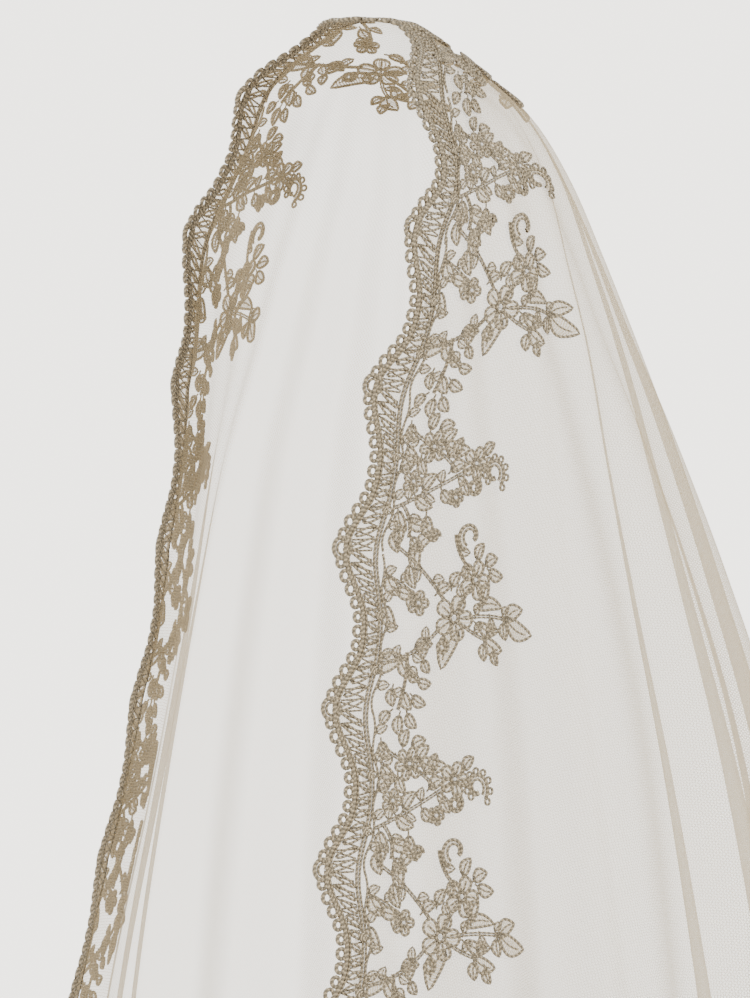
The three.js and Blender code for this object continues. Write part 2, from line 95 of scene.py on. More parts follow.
LARGE = {
    "flowers": (
        # along, inward, radius, petals
        (9.5, 50.6, 12, 5),
        (31, 63.5, 10.5, 5),
        (16, 27, 6.5, 5),
    ),
    "leaves": (
        # along, inward, length, half width, heading in degrees from the edge
        (13, 90.5, 20, 5, 105),
        (13, 90, 14, 4, 58),
        (11, 88, 9, 3.2, 165),
        (16, 66, 20, 3.4, 82),
        (8, 66, 18, 3.2, 95),
        (3, 54, 23, 5, 205),
        (0, 72.6, 15, 4, 105),
        (-2, 73, 9, 3, 178),
        (3, 75, 8, 2.8, 50),
        (-5, 80, 8, 2.6, 150),
        (19, 70, 12, 3.4, 20),
        (40, 71, 10, 3.2, 62),
        (42, 64, 10, 3, 25),
        (37, 74, 11, 3.2, 98),
        (33, 24, 16, 3.4, 5),
        (36, 20, 13, 3, 160),
        (47, 11, 10, 3.2, 20),
        (30, 7, 13, 3.6, 140),
        (14, 7, 13, 3.4, 150),
        (23, 13, 12, 3, 100),
        (45, 24, 12, 3.2, 50),
        (-20, 5, 17, 4.6, 65),
        (-13, 18, 13, 3.4, 140),
        (-8, 27, 11, 3.2, 75),
        (-3, 34, 10, 3, 190),
        (-14, 33, 7, 2.5, 150),
        (-21, 24, 7, 2.5, 115),
        (-29, 14, 9, 2.8, 175),
        (-31, 21, 10, 3, 150),
        (-33, 27, 9, 2.8, 115),
        (-41, 13, 8, 2.6, 215),
        (-43, 19, 10, 3, 175),
        (-42, 24, 9, 2.8, 140),
        (-25, 30, 8, 2.6, 95),
        (26, 48, 9, 2.8, 30),
        (22, 39, 9, 2.8, 60),
    ),
    "stems": (
        # from along and inward, bent towards along and inward, to along and inward
        (-16, 7, -12, 30, 4, 42),
        (10, 57, 14, 75, 13, 92),
        (13, 53, 20, 55, 27, 61),
        (6, 57, 1, 66, 0, 75),
        (46, 11, 36, 28, 18, 44),
        (54, 48, 42, 50, 36, 60),
        (-10, 22, -22, 24, -40, 18),
        (30, 7, 24, 22, 16, 27),
    ),
    "curls": (
        # along, inward, radius, first angle in degrees, turns
        (54, 58, 9, 200, 0.8),
        (-6, 44, 4.5, 0, 1.3),
        (52, 34, 4, 90, -1.2),
    ),
    "beaded": (),
}
SMALL = {
    "flowers": (
        (8.5, 56, 9, 5),
        (15, 26.5, 8.5, 6),
        (-11, 45, 4.8, 5),
        (-4, 17, 6, 5),
    ),
    "leaves": (
        (17, 33, 17, 4, 95),
        (17, 32, 10, 3, 40),
        (2, 8, 13, 3.2, 60),
        (-8, 24, 11, 3, 40),
        (-12, 20, 12, 3.2, 115),
        (-20, 10, 12, 3.2, 150),
        (-25, 17, 13, 3.4, 95),
        (3, 40, 10, 3, 60),
        (-8, 36, 9, 2.8, 125),
        (24, 22, 9, 2.8, 20),
        (24, 28, 9, 2.8, 65),
        (14, 62, 9, 2.8, 40),
        (-1, 49, 9, 2.8, 150),
        (12, 42, 9, 2.8, 10),
        (-22, 28, 14, 3.4, 155),
        (-30, 10, 12, 3.2, 170),
        (8, 20, 9, 2.6, 150),
        (14, 10, 11, 3, 130),
        (26, 9, 10, 3, 150),
        (-34, 20, 10, 3, 130),
    ),
    "stems": (
        (-18, 8, -8, 32, 8, 56),
        (14, 28, 9, 38, 3, 44),
        (8, 60, 9, 66, 12, 68),
        (-16, 12, -24, 20, -34, 18),
        (16, 24, 20, 14, 26, 8),
    ),
    "curls": ((-4, 57, 5.5, 0, 1.4),),
    "beaded": ((5.5, 71, 8.4, 130, -0.95),),
}


class VeilSizes(bpy.types.PropertyGroup):
    """Sizes of the cloth, its hang and its lace."""

    def length(name, default, description):
        return bpy.props.FloatProperty(
            name=name,
            default=default,
            description=description,
            subtype="DISTANCE",
            unit="LENGTH",
            precision=4,
        )

    half_front_length: length("Half front length", 0.745, "Middle of the front edge to its corner")
    back_length: length("Back length", 0.79, "Middle of the front edge to the hem at the back")
    net_thickness: length("Net thickness", 0.0012, "Thickness of the packed net")
    hem_half_width: length("Hem half width", 0.229, "Half the width of the hem as it hangs")
    hem_back_reach: length("Hem back reach", 0.311, "Middle axis to the hem at the back")
    drop: length("Drop", 0.684, "Crown to hem")
    fold_height: length("Fold height", 0.025, "Mean surface to a fold's crest at the hem")
    edging_width: length("Edging width", 0.0105, "Width of the edging between two scallops")
    scallop_depth: length("Scallop depth", 0.0135, "How far a scallop stands out")
    spray_reach: length("Spray reach", 0.11, "Net's edge to the tip of a large spray")
    cord: length("Cord", 0.00078, "Radius of the outline cord")
    fold_count: bpy.props.FloatProperty(name="Folds", default=15, description="Folds from edge to edge")
    scallop_count: bpy.props.IntProperty(name="Scallops", default=34, description="Scallops round the edge")
    sprays_per_side: bpy.props.IntProperty(name="Sprays", default=7, description="Sprays down each side")


class VeilColours(bpy.types.PropertyGroup):
    """Colours of the net, the thread and the stage."""

    def colour(name, default, description):
        return bpy.props.FloatVectorProperty(
            name=name, default=default, description=description, subtype="COLOR", size=3, min=0, max=1
        )

    net: colour("Net", (0.62, 0.5, 0.31), "Sheer net")
    cord: colour("Cord", (0.57, 0.46, 0.29), "Outline cord")
    stitch: colour("Stitch", (0.6, 0.49, 0.32), "Stitched filling")
    floor: colour("Floor", (0.93, 0.91, 0.88), "Floor under the veil")


def column(index, at):
    """Smooth value of one column of the drape at places down its first column."""
    down, value = DRAPE[:, DOWN], DRAPE[:, index]
    rows = np.arange(len(down))
    after, before = np.minimum(rows + 1, len(down) - 1), np.maximum(rows - 1, 0)
    slope = (value[after] - value[before]) / (down[after] - down[before])
    place = np.clip(at, down[0], down[-1])
    low = np.clip(np.searchsorted(down, place, side="right") - 1, 0, len(down) - 2)
    span = down[low + 1] - down[low]
    part = (place - down[low]) / span
    inside = (
        (2 * part**3 - 3 * part**2 + 1) * value[low]
        + (part**3 - 2 * part**2 + part) * span * slope[low]
        + (3 * part**2 - 2 * part**3) * value[low + 1]
        + (part**3 - part**2) * span * slope[low + 1]
    )
    return inside + (at - place) * np.where(at > place, slope[-1], slope[0])


def smooth(start, end, value):
    part = np.clip((value - start) / (end - start), 0, 1)
    return part * part * (3 - 2 * part)


def unit(vectors):
    return vectors / np.maximum(np.linalg.norm(vectors, axis=-1, keepdims=True), 1e-12)


class Cloth:
    """The hanging net as a surface: flat places go in, places in the frame come out."""

    def __init__(self, sizes):
        self.sizes = sizes
        self.chart_edge()

    def length(self, turn):
        across = np.sin(turn) / self.sizes.half_front_length
        back = np.cos(turn) / self.sizes.back_length
        return 1 / np.hypot(across, back)

    def fold_wave(self, turn):
        drift = 1.1 * np.sin(2.3 * turn + 0.5)
        fullness = 0.78 + 0.22 * np.cos(5 * turn + 1)
        return fullness * np.cos(2 * self.sizes.fold_count * (turn - 0.74) + drift)

    def drape(self, turn, radius):
        s = self.sizes
        down = radius / self.length(turn)
        part = np.abs(turn) / RIGHT_ANGLE
        centre = column(CENTRE, down) * s.hem_back_reach
        side = np.maximum(column(SIDE, down) * s.hem_half_width, LEAST)
        back = np.maximum(column(BACK, down) * s.hem_back_reach, LEAST)
        across = np.maximum(column(EDGE_ACROSS, down) * s.hem_half_width, LEAST)
        forward = column(EDGE_FORWARD, down) * s.hem_back_reach - centre
        wrap = np.arctan2(across, forward)

        def oval(angle):
            return 1 / np.hypot(np.sin(angle) / side, np.cos(angle) / back)

        angle = wrap * part
        gathered = np.maximum((part - GATHER_START) / (1 - GATHER_START), 0)
        pull = np.sin(RIGHT_ANGLE * gathered) ** 1.3
        wave = self.fold_wave(turn) * (1 - CALMED * smooth(CALM_START, CALM_END, part))
        reach = oval(angle) + column(FOLDS, down) * s.fold_height * wave
        sideways = reach * np.sin(angle) + pull * (across - oval(wrap) * np.sin(wrap))
        backward = centre + reach * np.cos(angle) + pull * (forward - oval(wrap) * np.cos(wrap))
        fall = np.sin(RIGHT_ANGLE * part) ** 2
        back_level, edge_level = column(BACK_LEVEL, down), column(EDGE_LEVEL, down)
        level = back_level + (edge_level - back_level) * fall
        height = s.net_thickness / 2 + level * s.drop
        return np.stack([np.sign(turn) * sideways, backward, height], axis=-1)

    def on_net(self, x, y):
        return self.drape(np.arctan2(x, y), np.hypot(x, y))

    def normal(self, x, y):
        step = 0.5 * MM
        away = np.maximum(y, step)
        along_x = self.on_net(x + step, away) - self.on_net(x - step, away)
        along_y = self.on_net(x, away + step) - self.on_net(x, away - step)
        return unit(np.cross(along_x, along_y))

    def outline(self):
        """Flat outline from the left end of the front edge, round the hem, to the right."""
        s = self.sizes
        steps = 400
        start = np.array([s.half_front_length * CORNER_START, 0.0])

        def on_oval(turn):
            return np.stack([np.sin(turn), np.cos(turn)], axis=-1) * self.length(turn)[..., None]

        end = on_oval(np.array(CORNER_TURN))
        heading = unit(on_oval(np.array(CORNER_TURN - 0.002)) - end)
        handles = [start, start + [CORNER_HANDLE, 0], end - heading * CORNER_HANDLE, end]
        t = np.linspace(0, 1, 41)[:, None]
        weights = [(1 - t) ** 3, 3 * t * (1 - t) ** 2, 3 * t**2 * (1 - t), t**3]
        corner = sum(w * h for w, h in zip(weights, handles))
        turns = CORNER_TURN * (1 - 2 * np.arange(1, steps) / steps)
        return np.vstack([corner, on_oval(turns), corner[::-1] * [-1, 1]])

    def chart_edge(self):
        """The net's edge as a chain of flat places with their distance along it as it hangs."""
        s = self.sizes
        outline = self.outline()
        hung = self.on_net(outline[:, 0], outline[:, 1])
        run = np.concatenate([[0], np.cumsum(np.linalg.norm(np.diff(hung, axis=0), axis=1))])
        wanted = np.linspace(0, run[-1], EDGE_COLUMNS + 1)
        hem = np.stack([np.interp(wanted, run, outline[:, k]) for k in (0, 1)], axis=-1)
        rows = np.array(EDGE_ROWS)[:, None]
        left, right = hem[0] * rows, hem[-1] * rows[::-1]
        flat = np.vstack([[[0.0, 0.0]], left, hem[1:-1], right, [[0.0, 0.0]]])
        hung = self.on_net(flat[:, 0], flat[:, 1])
        self.flat = flat
        self.run = np.concatenate([[0], np.cumsum(np.linalg.norm(np.diff(hung, axis=0), axis=1))])
        self.total = self.run[-1]
        self.pitch = self.total / s.scallop_count
        self.front = self.run[len(EDGE_ROWS)]

    def edge_flat(self, distance):
        wanted = np.mod(distance, self.total)
        return np.stack([np.interp(wanted, self.run, self.flat[:, k]) for k in (0, 1)], axis=-1)

    def on_edge(self, distance, out, lift):
        """A place beside the edge: outward from it in the net's plane, or inward on the net."""
        step = 1.5 * MM
        flat = self.edge_flat(distance)
        ahead, behind = self.edge_flat(distance + step), self.edge_flat(distance - step)
        after = self.on_net(ahead[..., 0], ahead[..., 1])
        before = self.on_net(behind[..., 0], behind[..., 1])
        tangent = unit(after - before)
        outward = unit(np.cross(tangent, self.normal(flat[..., 0], flat[..., 1])))
        out = np.broadcast_to(out, flat.shape[:-1])[..., None]
        lift = np.broadcast_to(lift, flat.shape[:-1])[..., None]

        # The flat step that moves a place inward by the wanted amount
        half = step / 3
        x, y = flat[..., 0], np.maximum(flat[..., 1], half)
        across = (self.on_net(x + half, y) - self.on_net(x - half, y)) / (2 * half)
        down = (self.on_net(x, y + half) - self.on_net(x, y - half)) / (2 * half)
        wanted = outward * np.minimum(out, 0)
        across_sq, down_sq = np.sum(across**2, axis=-1), np.sum(down**2, axis=-1)
        both = np.sum(across * down, axis=-1)
        on_across, on_down = np.sum(wanted * across, axis=-1), np.sum(wanted * down, axis=-1)
        span = np.maximum(across_sq * down_sq - both**2, 1e-9)
        x = flat[..., 0] + (on_across * down_sq - on_down * both) / span
        y = np.maximum(flat[..., 1] + (on_down * across_sq - on_across * both) / span, 0)
        normal = self.normal(x, y)
        return self.on_net(x, y) + outward * np.maximum(out, 0) + normal * lift, normal

    def scallop_wave(self, offset):
        """One at a scallop's point, nothing in the hollow between two."""
        return (0.5 + 0.5 * np.cos(2 * math.pi * offset / self.pitch)) ** 1.3

    def edge_radius(self, distance):
        reach = len(EDGE_ROWS) + 1
        radius = np.interp(abs(distance), self.run[:reach], np.linalg.norm(self.flat[:reach], axis=1))
        return math.copysign(radius, distance)

    def narrowing(self, radius):
        step = 0.02
        edge = np.full_like(radius, RIGHT_ANGLE)
        gap = np.linalg.norm(self.drape(edge, radius) - self.drape(edge - step, radius), axis=-1)
        narrowed = smooth(FULL_WIDTH_RADIUS, NARROWED_RADIUS, radius)
        return 1 + (gap / (radius * step) - 1) * narrowed

    def beside(self, along, inward, lift):
        """A place on the net's outer face, along the front edge and inward from it."""
        radius = np.maximum(np.hypot(along, inward), MM)
        turn = np.arctan2(inward, np.abs(along)) / self.narrowing(radius)
        turn = np.where(along < 0, -1.0, 1.0) * (RIGHT_ANGLE - turn)
        x, y = np.sin(turn) * radius, np.cos(turn) * radius
        normal = self.normal(x, y)
        return self.on_net(x, y) + normal * np.asarray(lift)[..., None], normal


class Threads:
    """Collects cords, fillings and beads of one piece as plain arrays."""

    def __init__(self):
        self.points, self.faces, self.places, self.slots = [], [], [], []
        self.count = 0

    def add(self, points, faces, places, slot):
        self.points.append(points)
        self.faces.append(faces + self.count)
        self.places.append(places)
        self.slots.append(np.full(len(faces), slot))
        self.count += len(points)

    def cord(self, path, normal, radius, closed=False, sides=5, slot=0):
        """A round cord along a path; its places hold millimetres along and turns round."""
        count = len(path)
        ahead = np.roll(path, -1, axis=0) if closed else np.vstack([path[1:], path[-1:]])
        behind = np.roll(path, 1, axis=0) if closed else np.vstack([path[:1], path[:-1]])
        tangent = unit(ahead - behind)
        aside = unit(np.cross(tangent, normal))
        upward = unit(np.cross(aside, tangent))
        angle = np.arange(sides) * 2 * math.pi / sides
        thick = radius * np.ones(count) if np.isscalar(radius) else radius
        ring = (
            aside[:, None, :] * np.cos(angle)[None, :, None]
            + upward[:, None, :] * np.sin(angle)[None, :, None]
        ) * thick[:, None, None]
        points = (path[:, None, :] + ring).reshape(-1, 3)
        run = np.concatenate([[0], np.cumsum(np.linalg.norm(np.diff(path, axis=0), axis=1))]) / MM
        places = np.stack(np.broadcast_arrays(run[:, None], (np.arange(sides) / sides)[None, :]), axis=-1)
        steps = count if closed else count - 1
        row = np.arange(steps)[:, None]
        side = np.arange(sides)[None, :]
        after, turn = (row + 1) % count, (side + 1) % sides
        faces = np.stack(
            [row * sides + side, row * sides + turn, after * sides + turn, after * sides + side], axis=-1
        )
        self.add(points, faces.reshape(-1, 4), places.reshape(-1, 2), slot)

    def patch(self, points, across, places, slot):
        """A grid of faces: the points run across first."""
        rows = len(points) // across
        i, j = np.meshgrid(np.arange(rows - 1), np.arange(across - 1), indexing="ij")
        first = i * across + j
        faces = np.stack([first, first + 1, first + across + 1, first + across], axis=-1)
        self.add(points, faces.reshape(-1, 4), places, slot)

    def bead(self, centre, normal, radius, slot):
        """A small round bead."""
        side = unit(np.cross(normal, [0.3, 0.5, 0.81]))
        front = np.cross(normal, side)
        tilt = np.linspace(-1.2, 1.57, 5)[:, None, None]
        turn = (np.arange(9) * 2 * math.pi / 8)[None, :, None]
        shell = (
            np.cos(tilt) * (np.cos(turn) * side + np.sin(turn) * front) + np.sin(tilt) * normal
        ) * radius
        points = (centre + shell).reshape(-1, 3)
        self.patch(points, 9, np.zeros((len(points), 2)), slot)

    def build(self, name, materials, nodes=()):
        points, faces = np.vstack(self.points), np.vstack(self.faces)
        slots = np.concatenate(self.slots)
        return mesh_object(name, points, faces, np.vstack(self.places), slots, materials, nodes)


def mesh_object(name, points, faces, places, slots, materials, nodes):
    """A smooth mesh object with its chart in the layer Thread, riding the root body."""
    mesh = bpy.data.meshes.new(name)
    mesh.vertices.add(len(points))
    mesh.vertices.foreach_set("co", points.astype(np.float32).ravel())
    mesh.loops.add(faces.size)
    mesh.loops.foreach_set("vertex_index", faces.astype(np.int32).ravel())
    mesh.polygons.add(len(faces))
    mesh.polygons.foreach_set("loop_start", np.arange(0, faces.size, 4, dtype=np.int32))
    mesh.polygons.foreach_set("loop_total", np.full(len(faces), 4, dtype=np.int32))
    mesh.polygons.foreach_set("material_index", slots.astype(np.int32))
    mesh.update(calc_edges=True)
    layer = mesh.uv_layers.new(name="Thread")
    layer.data.foreach_set("uv", places[faces.ravel()].astype(np.float32).ravel())
    mesh.polygons.foreach_set("use_smooth", np.ones(len(faces), dtype=bool))
    mesh.validate()
    for material in materials:
        mesh.materials.append(material)
    piece = bpy.data.objects.new(name, mesh)
    bpy.context.scene.collection.objects.link(piece)
    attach(piece, "root")
    if nodes:
        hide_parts(*nodes)
    return piece


def node_group(name, inputs, outputs):
    """An empty shader group with named float inputs and outputs, or the one made before."""
    known = bpy.data.node_groups.get(name)
    if known:
        return known, True
    group = bpy.data.node_groups.new(name, "ShaderNodeTree")
    for label, kind, default in inputs:
        socket = group.interface.new_socket(name=label, in_out="INPUT", socket_type=kind)
        if default is not None:
            socket.default_value = default
    for label, kind in outputs:
        group.interface.new_socket(name=label, in_out="OUTPUT", socket_type=kind)
    return group, False


def wire(tree, kind, settings=None, **inputs):
    """A node with its settings, its inputs set or linked."""
    node = tree.nodes.new(kind)
    for key, value in (settings or {}).items():
        setattr(node, key, value)
    for key, value in inputs.items():
        label = key.replace("_", " ")
        socket = node.inputs[int(key[1:])] if key[0] == "i" and key[1:].isdigit() else node.inputs[label]
        if isinstance(value, bpy.types.NodeSocket):
            tree.links.new(value, socket)
        else:
            socket.default_value = value
    return node


def twist_group():
    """Twisted yarn: height, and a painted shade and highlight, from the millimetres along a cord and turns
    round it.
    """
    group, made = node_group(
        "Twisted yarn",
        [("Vector", "NodeSocketVector", None), ("Pitch", "NodeSocketFloat", 1.6)],
        [("Height", "NodeSocketFloat"), ("Painted shade and highlight", "NodeSocketFloat")],
    )
    if made:
        return group
    start = group.nodes.new("NodeGroupInput")
    end = group.nodes.new("NodeGroupOutput")
    parts = wire(group, "ShaderNodeSeparateXYZ", i0=start.outputs["Vector"])
    divide, pitch = {"operation": "DIVIDE"}, start.outputs["Pitch"]
    along = wire(group, "ShaderNodeMath", divide, i0=parts.outputs[0], i1=pitch)
    spiral = wire(group, "ShaderNodeMath", {"operation": "ADD"}, i0=along.outputs[0], i1=parts.outputs[1])
    angle = wire(group, "ShaderNodeMath", {"operation": "MULTIPLY"}, i0=spiral.outputs[0], i1=2 * math.pi)
    wave = wire(group, "ShaderNodeMath", {"operation": "SINE"}, i0=angle.outputs[0])
    height = wire(
        group, "ShaderNodeMapRange", None, Value=wave.outputs[0], From_Min=-1.0, From_Max=1.0
    )
    group.links.new(height.outputs[0], end.inputs["Height"])
    noise = wire(group, "ShaderNodeTexNoise", None, Vector=start.outputs["Vector"], Scale=0.6, Detail=2.0)
    # Painted shade and highlight: the twist's rise and fall, varied by slow noise, later darkens and
    # brightens the cord's colour
    mix = wire(group, "ShaderNodeMath", {"operation": "MULTIPLY"}, i0=height.outputs[0], i1=noise.outputs[0])
    group.links.new(mix.outputs[0], end.inputs["Painted shade and highlight"])
    return group


def mesh_group():
    """Hexagonal net: thread mask and a slow cloudiness from flat places in millimetres."""
    group, made = node_group(
        "Fine net",
        [
            ("Vector", "NodeSocketVector", None),
            ("Cell", "NodeSocketFloat", 1.6),
            ("Thread", "NodeSocketFloat", 0.16),
        ],
        [("Mask", "NodeSocketFloat"), ("Cloud", "NodeSocketFloat")],
    )
    if made:
        return group
    start = group.nodes.new("NodeGroupInput")
    end = group.nodes.new("NodeGroupOutput")
    scale = wire(group, "ShaderNodeMath", {"operation": "DIVIDE"}, i0=1.0, i1=start.outputs["Cell"])
    cells = wire(
        group,
        "ShaderNodeTexVoronoi",
        {"feature": "DISTANCE_TO_EDGE", "voronoi_dimensions": "2D"},
        Vector=start.outputs["Vector"],
        Scale=scale.outputs[0],
        Randomness=0.35,
    )
    mask = wire(
        group,
        "ShaderNodeMapRange",
        {"interpolation_type": "SMOOTHSTEP"},
        Value=cells.outputs["Distance"],
        From_Min=0.0,
        From_Max=start.outputs["Thread"],
        To_Min=1.0,
        To_Max=0.0,
    )
    group.links.new(mask.outputs[0], end.inputs["Mask"])
    cloud = wire(group, "ShaderNodeTexNoise", None, Vector=start.outputs["Vector"], Scale=0.012, Detail=3.0)
    group.links.new(cloud.outputs[0], end.inputs["Cloud"])
    return group


def new_material(name):
    material = bpy.data.materials.new(name)
    material.use_nodes = True
    tree = material.node_tree
    shader = tree.nodes["Principled BSDF"]
    return material, tree, shader


def place_node(tree):
    return wire(tree, "ShaderNodeUVMap", {"uv_map": "Thread"}).outputs[0]


def net_material(colours, name="Sheer net", clear=0.33, edge=0.66, cell=1.6):
    """Sheer net: its threads thicken to the eye where it turns away."""
    material, tree, shader = new_material(name)
    place = place_node(tree)
    net = wire(tree, "ShaderNodeGroup", {"node_tree": mesh_group()}, Vector=place, Cell=cell, Thread=0.2)
    shader.inputs["Roughness"].default_value = 0.75
    shader.inputs["Specular IOR Level"].default_value = 0.15
    tint = wire(
        tree,
        "ShaderNodeMix",
        {"data_type": "RGBA"},
        Factor=net.outputs["Cloud"],
        A=(*colours.net, 1),
        B=(*[c * 0.93 for c in colours.net], 1),
    )
    tree.links.new(tint.outputs["Result"], shader.inputs["Base Color"])
    facing = wire(tree, "ShaderNodeLayerWeight", None, Blend=0.5)
    grazing = wire(
        tree,
        "ShaderNodeMapRange",
        None,
        Value=facing.outputs["Facing"],
        From_Min=0.1,
        From_Max=1.0,
        To_Min=clear,
        To_Max=edge,
    )
    threads = wire(
        tree,
        "ShaderNodeMapRange",
        None,
        Value=net.outputs["Mask"],
        To_Min=0.7,
        To_Max=1.35,
    )
    clamped = {"operation": "MULTIPLY", "use_clamp": True}
    alpha = wire(tree, "ShaderNodeMath", clamped, i0=grazing.outputs[0], i1=threads.outputs[0])
    tree.links.new(alpha.outputs[0], shader.inputs["Alpha"])
    bump = wire(tree, "ShaderNodeBump", None, Strength=0.2, Distance=0.0002, Height=net.outputs["Mask"])
    tree.links.new(bump.outputs[0], shader.inputs["Normal"])
    return material


def cord_material(colours):
    """Glossy twisted cord, its colour painted dark and bright along the twists as painted shade and
    highlight.
    """
    material, tree, shader = new_material("Twisted cord")
    yarn = wire(tree, "ShaderNodeGroup", {"node_tree": twist_group()}, Vector=place_node(tree), Pitch=2.4)
    # Painted shade and highlight: a dark copy of the cord colour in each twist's groove, a bright copy on its
    # crest
    tint = wire(
        tree,
        "ShaderNodeMix",
        {"data_type": "RGBA"},
        Factor=yarn.outputs["Painted shade and highlight"],
        A=(*[c * 0.32 for c in colours.cord], 1),
        B=(*[min(c * 1.7, 1) for c in colours.cord], 1),
    )
    tree.links.new(tint.outputs["Result"], shader.inputs["Base Color"])
    rough = wire(tree, "ShaderNodeMapRange", None, Value=yarn.outputs["Painted shade and highlight"], To_Min=0.4, To_Max=0.2)
    tree.links.new(rough.outputs[0], shader.inputs["Roughness"])
    shader.inputs["Sheen Weight"].default_value = 0.15
    bump = wire(tree, "ShaderNodeBump", None, Strength=1.0, Distance=0.0006, Height=yarn.outputs["Height"])
    tree.links.new(bump.outputs[0], shader.inputs["Normal"])
    return material


def stitch_material(colours):
    """Satin stitches across a leaf or petal, on net, with a painted shade between the stitches and a painted
    highlight on them.
    """
    material, tree, shader = new_material("Satin stitch")
    parts = wire(tree, "ShaderNodeSeparateXYZ", i0=place_node(tree))
    angle = wire(tree, "ShaderNodeMath", {"operation": "MULTIPLY"}, i0=parts.outputs[0], i1=2 * math.pi / 1.5)
    wave = wire(tree, "ShaderNodeMath", {"operation": "SINE"}, i0=angle.outputs[0])
    height = wire(tree, "ShaderNodeMapRange", None, Value=wave.outputs[0], From_Min=-1.0, From_Max=1.0)
    # Painted shade and highlight: the stitch colour darkens where the stitches dip and brightens on their
    # ridges
    tint = wire(
        tree,
        "ShaderNodeMix",
        {"data_type": "RGBA"},
        Factor=height.outputs[0],
        A=(*[c * 0.5 for c in colours.stitch], 1),
        B=(*[min(c * 1.4, 1) for c in colours.stitch], 1),
    )
    tree.links.new(tint.outputs["Result"], shader.inputs["Base Color"])
    alpha = wire(tree, "ShaderNodeMapRange", None, Value=height.outputs[0], To_Min=0.25, To_Max=1.0)
    tree.links.new(alpha.outputs[0], shader.inputs["Alpha"])
    shader.inputs["Roughness"].default_value = 0.42
    shader.inputs["Sheen Weight"].default_value = 0.2
    bump = wire(tree, "ShaderNodeBump", None, Strength=0.7, Distance=0.0003, Height=height.outputs[0])
    tree.links.new(bump.outputs[0], shader.inputs["Normal"])
    return material


def pearl_material():
    """Small pearl bead."""
    material, tree, shader = new_material("Pearl bead")
    place = wire(tree, "ShaderNodeTexCoord").outputs["Object"]
    noise = wire(tree, "ShaderNodeTexNoise", None, Vector=place, Scale=900.0)
    tint = wire(
        tree,
        "ShaderNodeMix",
        {"data_type": "RGBA"},
        Factor=noise.outputs[0],
        A=(0.78, 0.74, 0.68, 1),
        B=(0.9, 0.87, 0.82, 1),
    )
    tree.links.new(tint.outputs["Result"], shader.inputs["Base Color"])
    shader.inputs["Roughness"].default_value = 0.25
    shader.inputs["Coat Weight"].default_value = 0.4
    return material


def settings():
    scene = bpy.context.scene
    return scene.veil_sizes, scene.veil_colours


def lace_materials():
    names = ("Twisted cord", "Satin stitch", "Pearl bead", "Lace ground")
    if "Twisted cord" not in bpy.data.materials:
        _, colours = settings()
        cord_material(colours)
        stitch_material(colours)
        pearl_material()
        net_material(colours, "Lace ground", 0.42, 0.95, 1.2)
    return [bpy.data.materials[name] for name in names]


CORD, STITCH, PEARL, GROUND = range(4)


class VEIL_OT_stage(bpy.types.Operator):
    """Makes the camera, the light and the floor"""

    bl_idname = "veil.stage"
    bl_label = "Stage"

    def execute(self, context):
        _, colours = settings()
        scene = context.scene
        azimuth, elevation = math.radians(42), math.radians(0.5)
        distance, frame_height = 3.2, 0.531
        right = Vector((math.cos(azimuth), math.sin(azimuth), 0))
        back = Vector(
            (
                math.sin(azimuth) * math.cos(elevation),
                -math.cos(azimuth) * math.cos(elevation),
                math.sin(elevation),
            )
        )
        target = right * 0.004 + Vector((0, 0, -0.253))
        data = bpy.data.cameras.new("Camera")
        data.sensor_width = 36
        data.lens = 36 * distance / frame_height
        data.clip_end = 50
        camera = bpy.data.objects.new("Camera", data)
        camera.location = target + back * distance
        camera.rotation_euler = back.to_track_quat("Z", "Y").to_euler()
        scene.collection.objects.link(camera)
        scene.camera = camera

        floor_level, floor_radius = -0.8, 2.9
        bpy.ops.mesh.primitive_circle_add(
            vertices=96, radius=floor_radius, fill_type="NGON", location=(0, 0, floor_level)
        )
        floor = context.object
        floor.name = "floor"
        material, tree, shader = new_material("Pale floor")
        shader.inputs["Base Color"].default_value = (*colours.floor, 1)
        shader.inputs["Roughness"].default_value = 0.9
        floor.data.materials.append(material)

        # The background is bright to the camera and lights the lace dimly
        world = bpy.data.worlds.new("World")
        world.use_nodes = True
        air = world.node_tree.nodes["Background"]
        air.inputs["Color"].default_value = (0.97, 0.94, 0.88, 1)
        seen = wire(world.node_tree, "ShaderNodeLightPath")
        strength = wire(
            world.node_tree,
            "ShaderNodeMapRange",
            None,
            Value=seen.outputs["Is Camera Ray"],
            To_Min=0.55,
            To_Max=3.6,
        )
        world.node_tree.links.new(strength.outputs[0], air.inputs["Strength"])
        scene.world = world
        lamps = (
            # name, sideways, towards the camera, up, size, watts
            ("Rim light", -1.1, -0.9, 0.9, 0.5, 30),
            ("Side light", 1.6, 0.8, 0.9, 0.3, 34),
            ("Front light", -1.3, 1.5, 1.0, 0.4, 26),
        )
        for name, sideways, near, high, size, watts in lamps:
            lamp = bpy.data.lights.new(name, "AREA")
            lamp.size = size
            lamp.energy = watts
            thing = bpy.data.objects.new(name, lamp)
            middle = Vector((0, 0, -0.3))
            thing.location = right * sideways + back * near + middle + Vector((0, 0, high))
            aim = thing.location - middle
            thing.rotation_euler = aim.to_track_quat("Z", "Y").to_euler()
            scene.collection.objects.link(thing)
        return {"FINISHED"}


